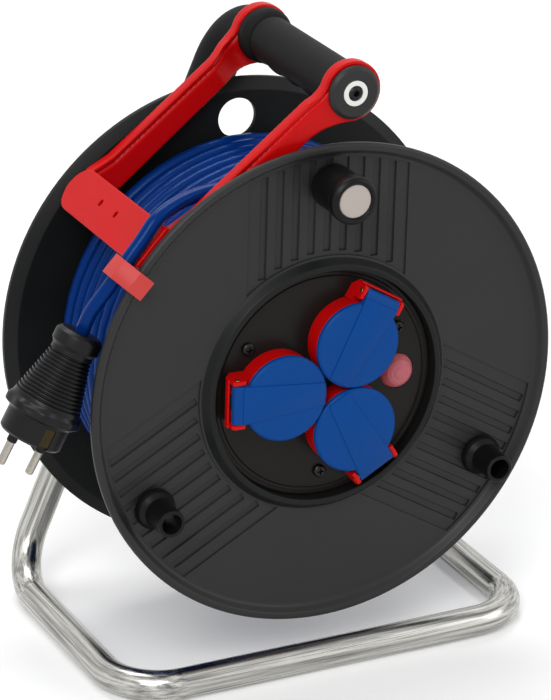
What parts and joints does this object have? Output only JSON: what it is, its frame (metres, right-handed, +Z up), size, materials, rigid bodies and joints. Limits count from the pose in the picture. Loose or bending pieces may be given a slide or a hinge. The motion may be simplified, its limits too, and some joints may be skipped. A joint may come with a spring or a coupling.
{
  "type": "extension cord reel",
  "caption": "Cable drum with covered mains sockets, turning on a bent tube stand with a carrying grip, a winding knob, a hinged cable guide and a plug.",
  "frame": {"origin": "on the floor, under the middle of the reel's width and depth", "axes": "+Z up, the drum's axis along Y with the sockets facing -Y, +X to the right of someone facing the sockets"},
  "size_m": [0.339, 0.21, 0.362],
  "materials": {
    "zinc_tube": "bright zinc plated tube, softly brushed",
    "black_plastic": "satin moulded plastic, near black",
    "black_rubber": "soft black rubber, matt",
    "red_plastic": "glossy red moulded plastic",
    "pale_red_plastic": "glossy paler red moulded plastic",
    "blue_plastic": "satin blue moulded plastic",
    "blue_jacket": "smooth blue cable jacket",
    "pink_rubber": "translucent pink sealing cap",
    "white_plastic": "plain white moulded plastic",
    "silver_disc": "silver-grey label disc",
    "dark_steel": "blackened steel fasteners",
    "nickel_pins": "nickel plated contact pins",
    "brass": "plain brass contact strip"
  },
  "bodies": {
    "frame": {"frame_tube": "zinc_tube", "bearing_bracket": "black_plastic", "bracket_cover": "black_plastic", "bracket_screw_1": "dark_steel", "bracket_screw_2": "dark_steel", "axle": "zinc_tube", "axle_clip": "dark_steel", "axle_nut": "zinc_tube", "grip": "black_rubber", "bend_sleeve": "black_plastic", "grip_cap": "black_plastic", "cap_washer": "white_plastic", "cap_screw": "dark_steel"},
    "drum": {"knob_spindle": "zinc_tube", "front_flange": "black_plastic", "rear_flange": "black_plastic", "hub_barrel": "black_plastic", "post_left": "black_plastic", "post_right": "black_plastic", "socket_plate": "black_plastic", "socket_1": "red_plastic", "socket_2": "red_plastic", "socket_3": "red_plastic", "cable_core": "blue_jacket", "cable_winding": "blue_jacket", "bearing_bush": "white_plastic", "thermal_switch": "white_plastic", "flange_screw_1": "dark_steel", "flange_screw_2": "dark_steel", "flange_screw_3": "dark_steel", "plate_screw_1": "dark_steel", "plate_screw_2": "dark_steel", "plate_screw_3": "dark_steel", "lid_spring_1": "dark_steel", "lid_spring_2": "dark_steel", "lid_spring_3": "dark_steel", "live_bar": "brass", "neutral_bar": "brass", "earth_clip_1": "brass", "earth_clip_2": "brass", "earth_clip_3": "brass", "lid_pin_1": "brass", "lid_pin_2": "brass", "lid_pin_3": "brass"},
    "knob": {"crank_knob": "black_plastic", "knob_disc": "silver_disc"},
    "guide": {"cable_guide": "red_plastic", "guide_clip": "pale_red_plastic", "cable_lead": "blue_jacket", "plug_body": "black_rubber", "plug_pin_1": "nickel_pins", "plug_pin_2": "nickel_pins", "plug_earth_1": "brass", "plug_earth_2": "brass"},
    "lid_1": {"lid_1": "blue_plastic"},
    "lid_2": {"lid_2": "blue_plastic"},
    "lid_3": {"lid_3": "blue_plastic"},
    "thermal_button": {"thermal_button": "pink_rubber"}
  },
  "joints": [
    {"name": "drum_spin", "type": "hinge", "parent": "frame", "child": "drum", "pos_m": [0, 0, 0.1732], "axis": [0, 1, 0], "continuous": true, "deforming": ["cable_lead"]},
    {"name": "knob_spin", "type": "hinge", "parent": "drum", "child": "knob", "pos_m": [0.00315, -0.087, 0.29366], "axis": [0, 1, 0], "continuous": true},
    {"name": "guide_swing", "type": "hinge", "parent": "frame", "child": "guide", "pos_m": [0.019, 0, 0.3444], "axis": [0, 1, 0], "range_deg": [0, 70]},
    {"name": "lid_1_hinge", "type": "hinge", "parent": "drum", "child": "lid_1", "pos_m": [-0.05908, -0.0823, 0.17475], "axis": [-0.0262, 0, -0.9997], "range_deg": [0, 95], "stiffness_Nm_per_rad": 0.02, "springref_deg": -34.38},
    {"name": "lid_2_hinge", "type": "hinge", "parent": "drum", "child": "lid_2", "pos_m": [0.03088, -0.0823, 0.22359], "axis": [-0.8526, 0, 0.5225], "range_deg": [0, 95], "stiffness_Nm_per_rad": 0.02, "springref_deg": -34.38},
    {"name": "lid_3_hinge", "type": "hinge", "parent": "drum", "child": "lid_3", "pos_m": [0.0282, -0.0823, 0.12126], "axis": [0.8788, 0, 0.4772], "range_deg": [0, 95], "stiffness_Nm_per_rad": 0.02, "springref_deg": -34.38},
    {"name": "thermal_button_press", "type": "slide", "parent": "drum", "child": "thermal_button", "axis": [0, 1, 0], "range_m": [0, 0.002], "stiffness_N_per_m": 600, "springref_m": -0.002}
  ]
}
